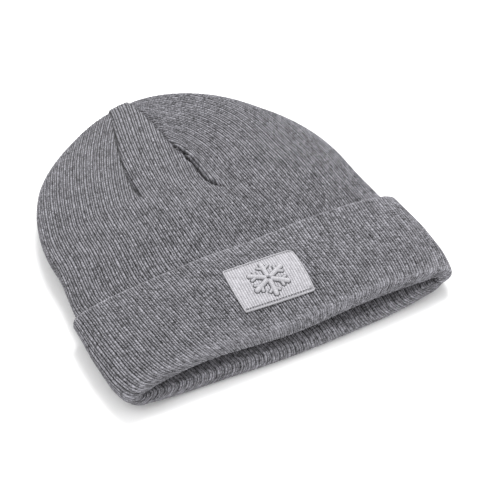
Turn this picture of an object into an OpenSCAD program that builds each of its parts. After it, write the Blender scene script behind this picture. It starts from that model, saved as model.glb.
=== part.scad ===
// Cuffed knit beanie lying flat: brim towards -Y, crown tip towards +Y, table at Z = 0.
// A two-ply rib-knit tube, closed at the crown by four darts and turned up at the brim.

/* [Hat] */
// Width of the cuff, laid flat
cuff_w = 222; // [200:1:245]
// Length from the upper brim fold to the crown tip, cuff turned up
hat_l = 227; // [200:1:255]
// Depth of the turned-up cuff
cuff_h = 70; // [58:1:80]
// Height of the lying crown above the table
crown_rise = 31; // [26:0.5:44]
// Width of the crown where it starts to round off
shoulder_w = 198; // [170:1:206]
// Distance from the brim fold to where the crown starts to round off
shoulder_y = 112; // [104:1:128]
// How far the end of the crown lies off the middle, towards +X
crown_lean = 13; // [-15:0.5:18]
// How far the lower lip of the brim reaches past the upper one
lip_out = 4; // [0:0.5:8]

/* [Knit] */
// Thickness of one ply of rib knit
ply_t = 2; // [1.5:0.1:2.6]
// Thickness of the cuff, two plies and the air between them, laid loosely
cuff_t = 5; // [4:0.1:6]
// Clearance between one soft layer and the next
gap = 0.3; // [0.2:0.05:0.4]
// Depth of the rolled fold at the brim
fold_d = 4.6; // [3.5:0.1:6]
// Height of the open mouth, lining to lining
mouth = 7; // [6:0.5:12]

/* [Patch] */
// Width of the woven patch
patch_w = 44.5; // [36:1:60]
// Height of the woven patch
patch_h = 33; // [26:1:40]
// Thickness of the woven patch
patch_t = 1; // [0.6:0.1:1.6]
// Distance from the brim fold to the middle of the patch
patch_y = 33; // [27:0.5:36]
// Distance from the middle of the brim to the middle of the patch
patch_x = 1; // [-10:0.5:10]
// Turn of the patch against the cuff, in degrees
patch_turn = -4; // [-5:0.5:5]
// Width of the woven edging round the patch
edging_w = 1.8; // [1.2:0.1:3]
// Length of one sewing stitch along the patch edge
stitch_l = 2; // [1.4:0.1:3]

/* [Motif] */
// Length of one arm of the raised snowflake
arm_l = 12.5; // [9:0.5:14]
// Width of the satin stitching over an arm
arm_w = 3; // [2.4:0.1:3.6]
// Thickness of the satin stitching over the foam
satin_t = 0.5; // [0.3:0.05:0.7]

/* [Care label] */
// Width of the folded care label
label_w = 30; // [20:1:36]
// Length of the folded care label
label_l = 34; // [24:1:40]
// Thickness of the label ribbon
label_t = 0.35; // [0.25:0.05:0.5]
// Distance from the middle of the hat to the middle of the label
label_x = 60; // [50:1:66]

/* [Hidden] */

$fn = 32;
sides = 40;                // points round each knit layer
squareness = 2.6;          // superellipse power of the lying cross-section
flat_share = 1.12;         // how far the underside runs past its round, where the table flattens it
thread_d = 0.8;            // sewing thread
stitch_d = 0.45;           // the finer thread of the patch and the label
rest_gap = 0.05;           // air under a stitch

layer_t = ply_t + gap;
wall_t = cuff_t + 2 * layer_t;            // cuff, outer shell and lining, one above the other
inside_cuff = cuff_t + gap;               // from the cuff's face to the outer shell
brim_z = 2 * wall_t + mouth;              // height of the brim fold
cuff_swell = 4.5;                         // extra height in the middle of the cuff
cuff_arc = 128;                           // degrees of the arc that the cuff's face follows from brim to free edge
corner_l = 20;                            // length over which the brim's corners draw in
corner_in = 4;                            // how far they draw in
cuff_flare = 2;                           // narrowing from the middle of the cuff to its free edge
tip_share = 0.42;
tip_z = tip_share * crown_rise;           // height of the crown tip
settle_l = 26;                            // length over which the crown comes down to the table
whole_l = hat_l + lip_out;

// Sets a piece down with the origin under the middle of the whole hat
module laid() {
    translate([0, lip_out - whole_l / 2, 0]) children();
}

// Smooth step from 0 at a to 1 at b
function ease(x, a, b) = let (t = max(0, min(1, (x - a) / (b - a)))) t * t * (3 - 2 * t);
function mix(a, b, t) = a + (b - a) * t;
function spow(v, p) = sign(v) * pow(abs(v), p);

// Half width and top of the cuff's face at a distance y from the brim
function cuff_half(y) = cuff_w / 2 - corner_in * pow(1 - min(y, corner_l) / corner_l, 2)
    - cuff_flare * ease(y, cuff_h / 2, cuff_h);
function cuff_top(y) = brim_z + cuff_swell * sin(cuff_arc * y / cuff_h);

// Share of the shoulder's section that is left at y, for a crown ending d short of the tip
dome_power = 0.6;
function dome(y, d) =
    let (t = min(1, max(0, (y - shoulder_y) / (hat_l - d - shoulder_y)))) pow(1 - t * t, dome_power);

// Half width, underside and top of the outer shell, d inside its face
function shell_half(y, d) =
    y < shoulder_y
    ? mix(cuff_half(min(y, cuff_h)) - inside_cuff, shoulder_w / 2, ease(y, cuff_h, shoulder_y)) - d
    : (shoulder_w / 2 - d) * dome(y, d);
function shell_low(y, d) = let (bare = mix(inside_cuff, 0, ease(y, cuff_h, cuff_h + settle_l)) + d)
    mix(tip_z, bare, dome(y, d));
function shell_top(y, d) =
    let (bare = mix(cuff_top(min(y, cuff_h)) - inside_cuff, crown_rise, ease(y, cuff_h, shoulder_y)) - d)
    mix(tip_z, bare, dome(y, d));

// Sideways place of the middle of the hat at a distance y from the brim: none at first, most at the tip
lean_y = 0.78 * hat_l;     // where the crown starts to lean
lean_power = 1.4;
function lean(y) = crown_lean * pow(max(0, y - lean_y) / (hat_l - lean_y), lean_power);

// Draws the lower half of the brim out past the upper half, most in the middle
lip_fade_l = 45;
function lip(p) = [p[0], p[1] - lip_out * (1 - pow(min(1, abs(p[0]) * 2 / cuff_w), 2))
    * (1 - ease(p[1], 0, lip_fade_l)) * (1 - ease(p[2], 0.2 * brim_z, 0.6 * brim_z)), p[2]];

// One closed section across the hat: half width w, underside low, top high
function section(y, w, low, high) = let (mid = (low + high) / 2) [
    for (i = [0 : sides - 1])
        let (a = 360 * i / sides, s = spow(sin(a), 2 / squareness))
        lip([lean(y) + w * spow(cos(a), 2 / squareness), y,
             s > 0 ? mid + (high - mid) * s : mid - (mid - low) * min(1, -flat_share * s)])
];
function cuff_ring(y, d) = section(y, cuff_half(y) - d, d, cuff_top(y) - d);
function shell_ring(y, d) = section(y, shell_half(y, d), shell_low(y, d), shell_top(y, d));

// A solid through rings of points, closed end to end or into a loop.
// An end is zipped shut across its ring: point 0 to the last point, point 1 to the last but one, and so on.
module through(rings, loop = false) {
    n = len(rings[0]);
    last = len(rings) - (loop ? 1 : 2);
    points = [for (r = rings) each r];
    walls = [
        for (k = [0 : last]) for (i = [0 : n - 1])
            let (j = (i + 1) % n, m = (k + 1) % len(rings), a = k * n, b = m * n)
            each [[a + i, a + j, b + j], [a + i, b + j, b + i]]
    ];
    end = (len(rings) - 1) * n;
    ends = loop ? [] : [
        for (i = [0 : floor((n - 1) / 2) - 1])
            let (j = i + 1, k = n - 2 - i, l = n - 1 - i)
            each concat([[l, k, i], [end + i, end + k, end + l]],
                        j < k ? [[k, j, i], [end + i, end + j, end + k]] : [])
    ];
    polyhedron(points, concat(walls, ends));
}

// Places of the rings along the hat; every layer uses the same ones, so that they nest
cuff_steps = [for (k = [0 : 6]) mix(fold_d, cuff_h - cuff_t / 2, k / 6)];
shell_start = fold_d + gap;
low_steps = concat([shell_start], [for (k = [1 : 6]) cuff_steps[k]],
                   [for (k = [1 : 5]) mix(cuff_h - cuff_t / 2, shoulder_y, k / 5)]);
dome_steps = [15, 30, 43, 54, 63, 71, 77, 82, 86];
function shell_steps(d) = concat(low_steps,
    [for (a = dome_steps) shoulder_y + (hat_l - d - shoulder_y) * sin(a)]);
function reversed(list) = [for (i = [len(list) - 1 : -1 : 0]) list[i]];

// One knitted ply, from d inside the shell's face to d + ply_t, open at the brim
module ply(d) {
    through(concat(
        [for (y = reversed(shell_steps(d + ply_t))) shell_ring(y, d + ply_t)],
        [for (y = shell_steps(d)) shell_ring(y, d)]
    ));
}

module outer_shell() {
    laid() color([0.48, 0.48, 0.5]) ply(0);
}

module inner_shell() {
    laid() color([0.42, 0.42, 0.44]) ply(layer_t);
}

// The turned-up band: a double wall whose brim fold rolls over the ends of both plies
module cuff() {
    edge_r = cuff_t / 2;
    face = [for (y = reversed(cuff_steps)) [y, 0]];
    fold = [for (a = [22.5 : 22.5 : 157.5]) [fold_d * (1 - sin(a)), wall_t / 2 * (1 - cos(a))]];
    back = [for (y = cuff_steps) [y, cuff_t]];
    edge = [for (a = [45 : 45 : 135]) [cuff_h - edge_r + edge_r * sin(a), edge_r * (1 + cos(a))]];
    path = concat(face, fold, [[fold_d, wall_t]], back, edge);
    laid() color([0.47, 0.47, 0.49]) through([for (p = path) cuff_ring(p[0], p[1])], loop = true);
}

// Height of the shell's face over or under a point of the table
function shell_z(x, y, over) =
    let (low = shell_low(y, 0), high = shell_top(y, 0), mid = (low + high) / 2,
         s = pow(max(0, 1 - pow(abs(x - lean(y)) / shell_half(y, 0), squareness)), 1 / squareness))
    over ? mid + (high - mid) * s : mid - (mid - low) * min(1, flat_share * s);

// A crown dart: linking stitches that lie on the shell from the dart's foot to near the tip
front_foot = 0.15;               // share of the rounding crown's length where a front dart starts
back_foot = 0.42;                // the same for a back dart, where the underside has left the table
dart_head = 0.93;                // and where both come up to the crown tie
dart_bow = 4;                    // how far a long dart bows out sideways
dart_power = 1.25;               // how late a dart turns towards its head
stitch_n = 26;                   // linking stitches in a dart
stitch_share = 0.76;             // share of the stitch pitch that the thread covers

function dart_point(foot_x, head_x, bow, over, t) =
    let (y = mix(shoulder_y, hat_l, mix(over ? front_foot : back_foot, dart_head, t)),
         x = mix(foot_x, head_x, pow(t, dart_power)) + bow * sin(180 * t),
         lift = thread_d / 2 + rest_gap)
    [x, y, shell_z(x, y, over) + (over ? lift : -lift)];

module rod(a, b, d) {
    v = b - a;
    translate(a)
        rotate([0, acos(v[2] / norm(v)), atan2(v[1], v[0])])
            cylinder(d = d, h = norm(v));
}

module crown_seam(foot_x, head_x, bow, over) {
    laid() color([0.3, 0.3, 0.32])
        for (k = [0 : stitch_n - 1])
            rod(dart_point(foot_x, head_x, bow, over, k / stitch_n),
                dart_point(foot_x, head_x, bow, over, (k + stitch_share) / stitch_n), thread_d);
}

module crown_seam_front_left() crown_seam(-33, -9.5, -dart_bow, true);
module crown_seam_front_right() crown_seam(8.5, 7.5, 0, true);
module crown_seam_back_left() crown_seam(-26, -9.5, -dart_bow, false);
module crown_seam_back_right() crown_seam(26, 9.5, dart_bow, false);

// The thread that gathers the four darts, drawn up under the tip and lying along the underside
tie_r = 1.5;
tie_in = 9;                      // distance of the tie from the crown's end
tie_rise = 0.3;                  // air between the tie and the shell
module crown_tie() {
    y = hat_l - tie_in;
    slope = atan((shell_z(0, y + tie_r, false) - shell_z(0, y - tie_r, false)) / (2 * tie_r));
    laid() color([0.3, 0.3, 0.32])
        translate([0, y, shell_z(0, y, false) - thread_d / 2 - tie_rise])
            rotate([slope, 0, 0])
                rotate_extrude()
                    translate([tie_r, 0]) circle(d = thread_d);
}

// Height of the cuff's face over a point, and a patch point (a across, b up) raised by h over it
function cuff_z(x, y) = let (w = cuff_half(y), high = cuff_top(y), mid = high / 2)
    mid + mid * pow(1 - pow(abs(x) / w, squareness), 1 / squareness);
function on_patch(a, b, h) =
    let (x = patch_x + a * cos(patch_turn) - b * sin(patch_turn),
         y = patch_y + a * sin(patch_turn) + b * cos(patch_turn))
    [x, y, cuff_z(x, y) + gap + h];

// A flat piece that follows the cuff over the rectangle [-w, w] by [-h, h], from height low to high
patch_nx = 8;
patch_ny = 6;
function rim(w, h) = concat(
    [for (i = [0 : patch_nx - 1]) [mix(-w, w, i / patch_nx), -h]],
    [for (i = [0 : patch_ny - 1]) [w, mix(-h, h, i / patch_ny)]],
    [for (i = [0 : patch_nx - 1]) [mix(w, -w, i / patch_nx), h]],
    [for (i = [0 : patch_ny - 1]) [-w, mix(h, -h, i / patch_ny)]]);

module sheet(w, h, low, high) {
    function spot(i, j, z) = on_patch(mix(-w, w, i / patch_nx), mix(-h, h, j / patch_ny), z);
    through([for (j = [0 : patch_ny]) concat(
        [for (i = [0 : patch_nx]) spot(i, j, low)],
        [for (i = [patch_nx : -1 : 0]) spot(i, j, high)])]);
}

module patch_base() {
    laid() color([0.77, 0.77, 0.79]) sheet(patch_w / 2 - edging_w, patch_h / 2 - edging_w, 0, patch_t);
}

// The woven edging: a bead that runs round the patch, flush with its base
edging_rise = 0.35;        // how far the bead stands over the patch
edging_profile = [[0, 0], [1, 0], [1, 1], [0.75, 1.3], [0.25, 1.3], [0, 1]];
module patch_edging() {
    w = patch_w / 2;
    h = patch_h / 2;
    bead = patch_t + edging_rise;
    laid() color([0.85, 0.85, 0.86]) through([
        for (p = rim(1, 1)) [
            for (q = edging_profile)
                on_patch(p[0] * (w - edging_w * q[0]), p[1] * (h - edging_w * q[0]), min(q[1] * patch_t, bead))
        ]
    ], loop = true);
}

// The row of stitches that sews the patch to the cuff, just inside its edging
stitch_in = 0.9;           // distance of the row from the edging
stitch_inset = edging_w + stitch_in;
module stitch_row(from, to) {
    n = max(2, round(norm(to - from) / stitch_l));
    lift = patch_t + stitch_d / 2 + rest_gap;
    for (k = [0 : n - 1]) {
        a = from + (to - from) * (k + 0.18) / n;
        b = from + (to - from) * (k + 0.82) / n;
        rod(on_patch(a[0], a[1], lift), on_patch(b[0], b[1], lift), stitch_d);
    }
}
module patch_stitches() {
    w = patch_w / 2 - stitch_inset;
    h = patch_h / 2 - stitch_inset;
    laid() color([0.25, 0.25, 0.27]) {
        stitch_row([-w, -h], [w, -h]);
        stitch_row([w, -h], [w, h]);
        stitch_row([w, h], [-w, h]);
        stitch_row([-w, h], [-w, -h]);
    }
}

// The motif: a six-armed snowflake, satin stitching over strips of foam
hub_r = 0.95 * arm_w;      // where the arms begin, clear of one another
foam_h = 1.1;              // height of the foam
twig_l = 4.2;              // length of a side twig
twig_w = 0.6 * arm_w;
twig_h = 0.7 * foam_h;
twig_gap = 0.2;            // between a twig and its arm
twig_at = 0.56 * arm_l;    // where the twigs leave the arm
twig_angle = 55;
bar_steps = 5;
arch = [for (a = [0 : 22.5 : 180]) [cos(a), sin(a)]];

// Cross-section of a strip at p, where side is the unit vector across it
function arch_at(p, side, half, high, order) =
    [for (q = order) let (c = p + side * half * q[0]) on_patch(c[0], c[1], patch_t + rest_gap + high * q[1])];

module strip(from, to, half, high) {
    run = (to - from) / norm(to - from);
    side = [-run[1], run[0]];
    through([for (k = [0 : bar_steps])
        arch_at(from + (to - from) * k / bar_steps, side, half, high, reversed(arch))]);
}
module sleeve(from, to, half, high, wall) {
    run = (to - from) / norm(to - from);
    side = [-run[1], run[0]];
    through([for (k = [0 : bar_steps]) let (p = from + (to - from) * k / bar_steps)
        concat(arch_at(p, side, half, high, reversed(arch)),
               arch_at(p, side, half - wall, high - wall, arch))]);
}
function ray(angle, r) = [r * cos(angle), r * sin(angle)];

module motif_foam() {
    laid() color([0.35, 0.35, 0.37])
        for (a = [30 : 60 : 330])
            strip(ray(a, hub_r), ray(a, arm_l), arm_w / 2 - satin_t - rest_gap, foam_h);
}
module motif_satin() {
    laid() color([0.8, 0.8, 0.82])
        for (a = [30 : 60 : 330]) {
            sleeve(ray(a, hub_r), ray(a, arm_l), arm_w / 2, foam_h + satin_t + rest_gap, satin_t);
            for (s = [-1, 1]) {
                foot = ray(a, twig_at) + ray(a + s * 90, arm_w / 2 + twig_gap);
                strip(foot, foot + ray(a + s * twig_angle, twig_l - arm_w / 2), twig_w / 2, twig_h);
            }
        }
}

// The care label, a ribbon folded in half and sewn to the lining by its open end
label_d = 2 * layer_t - gap;             // depth of the lining's inner face below the shell's
label_in = 8;                            // distance of the label's fold from the brim's
label_end_y = fold_d + label_l + label_in;
label_seam_in = 2;                       // distance of its seam from the sewn end
label_gap = 0.4;                         // air between its halves
label_h = 2 * label_t + label_gap;
function lining_z(x, y) =
    let (low = shell_low(y, label_d), mid = (low + shell_top(y, label_d)) / 2,
         s = pow(max(0, 1 - pow(abs(x) / shell_half(y, label_d), squareness)), 1 / squareness))
    mid - (mid - low) * min(1, flat_share * s);

label_nx = 6;
module care_label() {
    bend_r = (label_h - label_t) / 2;    // radius of the fold, at the middle of the ribbon
    straight = [for (k = [0 : 4]) mix(0, label_l - label_h, k / 4)];
    // Each stop is [distance from the sewn end, height, direction that the ribbon's face looks in]
    path = concat([for (v = straight) [v, label_t / 2, -90]],
                  [for (a = [-60 : 30 : 60]) [label_l - label_h + bend_r * cos(a), label_h / 2 + bend_r * sin(a), a]],
                  [for (v = reversed(straight)) [v, label_h - label_t / 2, 90]]);
    function spot(i, q, side) =
        let (x = label_x + mix(-label_w, label_w, i / label_nx) / 2,
             y = label_end_y - q[0] - side * label_t / 2 * cos(q[2]))
            lip([x, y, lining_z(x, y) + gap + q[1] + side * label_t / 2 * sin(q[2])]);
    laid() color([0.93, 0.93, 0.92]) through([
        for (q = path) concat([for (i = [0 : label_nx]) spot(i, q, -1)],
                              [for (i = [label_nx : -1 : 0]) spot(i, q, 1)])
    ]);
}

// Stitches that sew the open end of the label down
module label_thread() {
    n = round(label_w / stitch_l);
    y = label_end_y - label_seam_in;
    function over(k) = let (x = label_x + mix(-label_w, label_w, k / n) / 2)
        lip([x, y, lining_z(x, y) + gap + label_h + stitch_d / 2 + rest_gap]);
    laid() color([0.75, 0.75, 0.76])
        for (k = [0 : n - 1]) rod(over(k + 0.18), over(k + 0.82), stitch_d);
}

outer_shell();
inner_shell();
cuff();
crown_seam_front_left();
crown_seam_front_right();
crown_seam_back_left();
crown_seam_back_right();
crown_tie();
patch_base();
patch_edging();
patch_stitches();
motif_foam();
motif_satin();
care_label();
label_thread();
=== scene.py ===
import math
import bmesh
import bpy
import numpy as np
from mathutils import Matrix, Vector


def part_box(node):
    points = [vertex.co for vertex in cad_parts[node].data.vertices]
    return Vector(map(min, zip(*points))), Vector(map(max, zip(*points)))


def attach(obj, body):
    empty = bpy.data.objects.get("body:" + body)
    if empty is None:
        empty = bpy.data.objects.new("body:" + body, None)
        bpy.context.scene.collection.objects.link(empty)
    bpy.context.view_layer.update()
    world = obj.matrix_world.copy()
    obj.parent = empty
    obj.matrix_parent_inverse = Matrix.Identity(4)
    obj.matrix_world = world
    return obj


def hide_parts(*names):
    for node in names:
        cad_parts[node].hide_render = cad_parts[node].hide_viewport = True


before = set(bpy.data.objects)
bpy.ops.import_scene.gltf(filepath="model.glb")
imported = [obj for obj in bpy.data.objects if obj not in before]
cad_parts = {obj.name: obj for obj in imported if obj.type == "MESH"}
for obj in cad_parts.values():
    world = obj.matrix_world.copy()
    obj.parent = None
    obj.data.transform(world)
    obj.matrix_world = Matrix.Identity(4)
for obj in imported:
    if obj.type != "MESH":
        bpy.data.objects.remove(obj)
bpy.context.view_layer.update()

mm = 0.001
cuffLow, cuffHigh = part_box("cuff")
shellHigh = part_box("outer_shell")[1]
labelLow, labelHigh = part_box("care_label")
tieLow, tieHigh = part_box("crown_tie")
print("frame loaded")

# The lying hat in millimetres: x across, y from the upper brim fold to the tip, z up from the table
hat = {
    "lipOut": 4, "cuffHeight": 70, "plyThick": 2, "cuffThick": 5, "gap": 0.3, "foldDeep": 3.6,
    "cuffSwell": 4.5, "cuffArc": 128, "foldPower": 0.75, "cornerLong": 20, "cornerIn": 4, "cuffFlare": 2,
    "settleLong": 10, "shoulderWidth": 198, "shoulderY": 112, "domePower": 0.6, "tipShare": 0.42,
    "leanFrom": 0.78, "leanPower": 1.4, "lipFade": 45, "squareness": 2.6, "flatShare": 1.12, "length": 227,
    "crownLean": 13, "periods": 88, "coursePitch": 2.0,
}
cuffWidth = (cuffHigh.x - cuffLow.x) / mm
brimY = cuffHigh.y / mm - hat["cuffHeight"]
crownRise = shellHigh.z / mm
brimZ = cuffHigh.z / mm - hat["cuffSwell"]
wall = hat["cuffThick"] + 2 * (hat["plyThick"] + hat["gap"])
insideCuff = hat["cuffThick"] + hat["gap"]
tipZ = hat["tipShare"] * crownRise


def ease(x, a, b):  # smooth step from 0 at a to 1 at b
    t = np.clip((x - a) / (b - a), 0, 1)
    return t * t * (3 - 2 * t)


def mix(a, b, t):
    return a + (b - a) * t


def bell(x, middle, width):  # a bell curve of height 1
    return np.exp(-((x - middle) / width) ** 2)


def signedPower(v, power):
    return np.sign(v) * np.abs(v) ** power


def wobble(x, y, seed, size):  # slow even waviness between about -1 and 1
    rng = np.random.default_rng(seed)
    total = 0 * x
    for turn in range(6):
        angle, phase = rng.uniform(0, math.tau, 2)
        wave = size * rng.uniform(0.6, 1.8)
        total = total + np.sin((x * math.cos(angle) + y * math.sin(angle)) * math.tau / wave + phase)
    return total / 3.5


def cuffHalf(y):
    corner = hat["cornerIn"] * (1 - np.minimum(y, hat["cornerLong"]) / hat["cornerLong"]) ** 2
    return cuffWidth / 2 - corner - hat["cuffFlare"] * ease(y, hat["cuffHeight"] / 2, hat["cuffHeight"])


def cuffTop(y):
    return brimZ + hat["cuffSwell"] * np.sin(np.radians(hat["cuffArc"] * y / hat["cuffHeight"]))


def dome(y, depth):
    t = np.clip((y - hat["shoulderY"]) / (hat["length"] - depth - hat["shoulderY"]), 0, 1)
    return (1 - t * t) ** hat["domePower"]


def lean(y):
    start = hat["leanFrom"] * hat["length"]
    return hat["crownLean"] * (np.maximum(0, y - start) / (hat["length"] - start)) ** hat["leanPower"]


def shellHalf(y, depth):
    low = mix(cuffHalf(np.minimum(y, hat["cuffHeight"])) - insideCuff, hat["shoulderWidth"] / 2,
              ease(y, hat["cuffHeight"], hat["shoulderY"])) - depth
    high = (hat["shoulderWidth"] / 2 - depth) * dome(y, depth)
    return np.where(y < hat["shoulderY"], low, high)


def shellLowZ(y, depth):
    bare = mix(insideCuff, 0, ease(y, hat["cuffHeight"] - 4, hat["cuffHeight"] + hat["settleLong"])) + depth
    return mix(tipZ, bare, dome(y, depth))


def shellTopZ(y, depth):
    bare = mix(cuffTop(np.minimum(y, hat["cuffHeight"])) - insideCuff, crownRise,
               ease(y, hat["cuffHeight"], hat["shoulderY"])) - depth
    return mix(tipZ, bare, dome(y, depth))


# Even steps over the top of a section, then back underneath, all moved along by a distance
def ringPoints(half, low, high, columns, moved=0):
    turn = np.radians(np.linspace(180, -180, 721))
    middle = (low + high) / 2
    rise = signedPower(np.sin(turn), 2 / hat["squareness"])
    x = half * signedPower(np.cos(turn), 2 / hat["squareness"])
    z = np.where(rise > 0, middle + (high - middle) * rise,
                 middle - (middle - low) * np.minimum(1, -hat["flatShare"] * rise))
    run = np.concatenate([[0], np.cumsum(np.hypot(np.diff(x), np.diff(z)))])
    over = run[len(run) // 2]
    steps = columns // 2 + 1
    even = np.concatenate([np.linspace(0, over, steps), np.linspace(over, run[-1], steps)[1:]])
    once = max(run[-1], 1e-6)
    want = even + moved
    return np.interp(want, run, x, period=once), np.interp(want, run, z, period=once), over, run[-1] - over


settled = {
    "sag": 2.6, "sagAt": 6, "sagWide": 34, "sagFade": 40,  # the upper lip hangs
    "drawn": 3.0, "drawnAt": -62, "drawnWide": 42, "drawnFade": 50,  # the brim is drawn in on the left
    "dip": 1.6, "dipAt": 9, "dipWide": 20, "dipRun": (42, 68, 70, 96),  # a hollow across the free edge
    "unrest": 0.6, "unrestLong": 70,
    "cushion": 1.0, "cushionAt": (1, 33), "cushionWide": 30,  # the cloth stands up under the patch
}


def settle(p):  # how the cloth has settled: the lower lip reaches out, the upper one sags
    x, y, z = p[..., 0], p[..., 1], p[..., 2]
    lower = 1 - ease(z, 0.2 * brimZ, 0.6 * brimZ)
    across = 1 - np.minimum(1, np.abs(x) * 2 / cuffWidth) ** 2
    upper = ease(z, 0.3 * brimZ, 0.75 * brimZ)
    sag = settled["sag"] * bell(x, settled["sagAt"], settled["sagWide"]) * (1 - ease(y, 0, settled["sagFade"]))
    start, full, last, gone = settled["dipRun"]
    dip = settled["dip"] * bell(x, settled["dipAt"], settled["dipWide"])
    dip = dip * ease(y, start, full) * (1 - ease(y, last, gone))
    unrest = settled["unrest"] * wobble(x, y, 3, settled["unrestLong"])
    patchX, patchY = settled["cushionAt"]
    cushion = settled["cushion"] * bell(np.hypot(x - patchX, 1.3 * (y - patchY)), 0, settled["cushionWide"])
    newY = y - hat["lipOut"] * across * (1 - ease(y, 0, hat["lipFade"])) * lower
    drawn = settled["drawn"] * bell(x, settled["drawnAt"], settled["drawnWide"])
    newY = newY + drawn * (1 - ease(y, 0, settled["drawnFade"]))
    return np.stack([x, newY, z + upper * (cushion - sag - dip - unrest)], -1)


def toFrame(p):
    return (p + np.array([0, brimY, 0])) * mm


wales = {"centres": (0.1375, 0.4175, 0.78), "halves": (0.1375, 0.1425, 0.22), "valleys": (0, 0.5, 0.15, 0),
         "bounds": (0.275, 0.56)}


# Height of the outside across one repeat: two narrow wales, then a broad one between grooves
def outerRib(phase):
    p = phase - np.floor(phase)
    high = 0 * p
    for k, (centre, half) in enumerate(zip(wales["centres"], wales["halves"])):
        away = (p - centre) / half
        valley = np.where(away < 0, wales["valleys"][k], wales["valleys"][k + 1])
        arch = np.clip(1 - away ** 2, 0, 1) ** 0.6
        high = np.maximum(high, np.where(np.abs(away) <= 1, valley + (1 - valley) * arch, 0))
    return high


def innerRib(phase):  # the inside: broad columns between narrow grooves
    p = phase - np.floor(phase)
    return np.clip(1 - np.abs(2 * p - 1) ** 4, 0, 1)


def stitchRelief(phase, course):  # each stitch is a small rise; neighbouring wales are half a stitch apart
    p = phase - np.floor(phase)
    first, second = wales["bounds"]
    shift = np.where((p > first) & (p < second), math.pi, 0)
    return 0.5 + 0.5 * np.cos(math.tau * course + shift)


def gridNormals(p, probe):  # unit normals of a grid, turned outwards, where probe is a row near the middle
    n = np.cross(np.gradient(p, axis=1), np.gradient(p, axis=0))
    n = n / np.maximum(np.linalg.norm(n, axis=-1, keepdims=True), 1e-9)
    outward = np.sign((n[probe] * (p[probe] - p[probe].mean(0))).sum(-1).mean())
    return n * outward, outward


def gridArea(p):
    return np.linalg.norm(np.cross(np.gradient(p, axis=1), np.gradient(p, axis=0)), axis=-1).sum() * mm * mm


# A grid of points as a mesh with the knit's UV map, smooth shading and a shade attribute of painted light and
# shade
def gridMesh(name, p, u, v, shade, ribbed, flip):
    if flip:
        p, u, v, shade, ribbed = p[::-1], u[::-1], v[::-1], shade[::-1], ribbed[::-1]
    rows, columns = p.shape[0] - 1, p.shape[1] - 1
    bm = bmesh.new()
    bmesh.ops.create_grid(bm, x_segments=columns, y_segments=rows, size=0.5)
    mesh = bpy.data.meshes.new(name)
    bm.to_mesh(mesh)
    bm.free()
    co = np.zeros(len(mesh.vertices) * 3)
    mesh.vertices.foreach_get("co", co)
    co = co.reshape(-1, 3)
    column = np.rint((co[:, 0] + 0.5) * columns).astype(int)
    row = np.rint((co[:, 1] + 0.5) * rows).astype(int)
    placed = p[row, column]
    placed[:, 2] = np.maximum(placed[:, 2], 0)
    mesh.vertices.foreach_set("co", toFrame(placed).ravel())
    corner = np.zeros(len(mesh.loops), int)
    mesh.loops.foreach_get("vertex_index", corner)
    layer = mesh.uv_layers.new(name="knit")
    layer.data.foreach_set("uv", np.stack([u[row, column][corner], v[row, column][corner]], -1).ravel())
    mesh.attributes.new("shade", "FLOAT", "POINT").data.foreach_set("value", shade[row, column])
    mesh.attributes.new("ribbed", "FLOAT", "POINT").data.foreach_set("value", ribbed[row, column])
    mesh.polygons.foreach_set("use_smooth", [True] * len(mesh.polygons))
    bm = bmesh.new()
    bm.from_mesh(mesh)
    bmesh.ops.remove_doubles(bm, verts=bm.verts, dist=1e-6)
    bm.to_mesh(mesh)
    bm.free()
    mesh.update()
    return mesh


def addPiece(name, mesh, material, slot, *nodes):
    piece = bpy.data.objects.new(name, mesh)
    bpy.context.scene.collection.objects.link(piece)
    mesh.materials.append(material)
    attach(piece, "root")
    if nodes:
        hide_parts(*nodes)
    return piece


class Signal:  # a shader socket that takes part in sums
    def __init__(self, maker, socket):
        self.maker = maker
        self.socket = socket

    def math(self, operation, *values):
        return self.maker.node("ShaderNodeMath", {"operation": operation}, dict(enumerate(values)))

    def __add__(self, other):
        return self.math("ADD", self, other)

    def __mul__(self, other):
        return self.math("MULTIPLY", self, other)

    def __sub__(self, other):
        return self.math("SUBTRACT", self, other)

    def __rsub__(self, other):
        return self.math("SUBTRACT", other, self)

    def __truediv__(self, other):
        return self.math("DIVIDE", self, other)

    def __pow__(self, other):
        return self.math("POWER", self, other)

    def __gt__(self, other):
        return self.math("GREATER_THAN", self, other)

    __radd__ = __add__
    __rmul__ = __mul__

    def part(self):
        return self.math("FRACT", self)

    def whole(self):
        return self.math("FLOOR", self)

    def size(self):
        return self.math("ABSOLUTE", self)

    def most(self, other):
        return self.math("MAXIMUM", self, other)

    def span(self, a, b, low=0.0, high=1.0):
        inputs = {"Value": self, "From Min": a, "From Max": b, "To Min": low, "To Max": high}
        return self.maker.node("ShaderNodeMapRange", {"clamp": True}, inputs)


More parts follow.
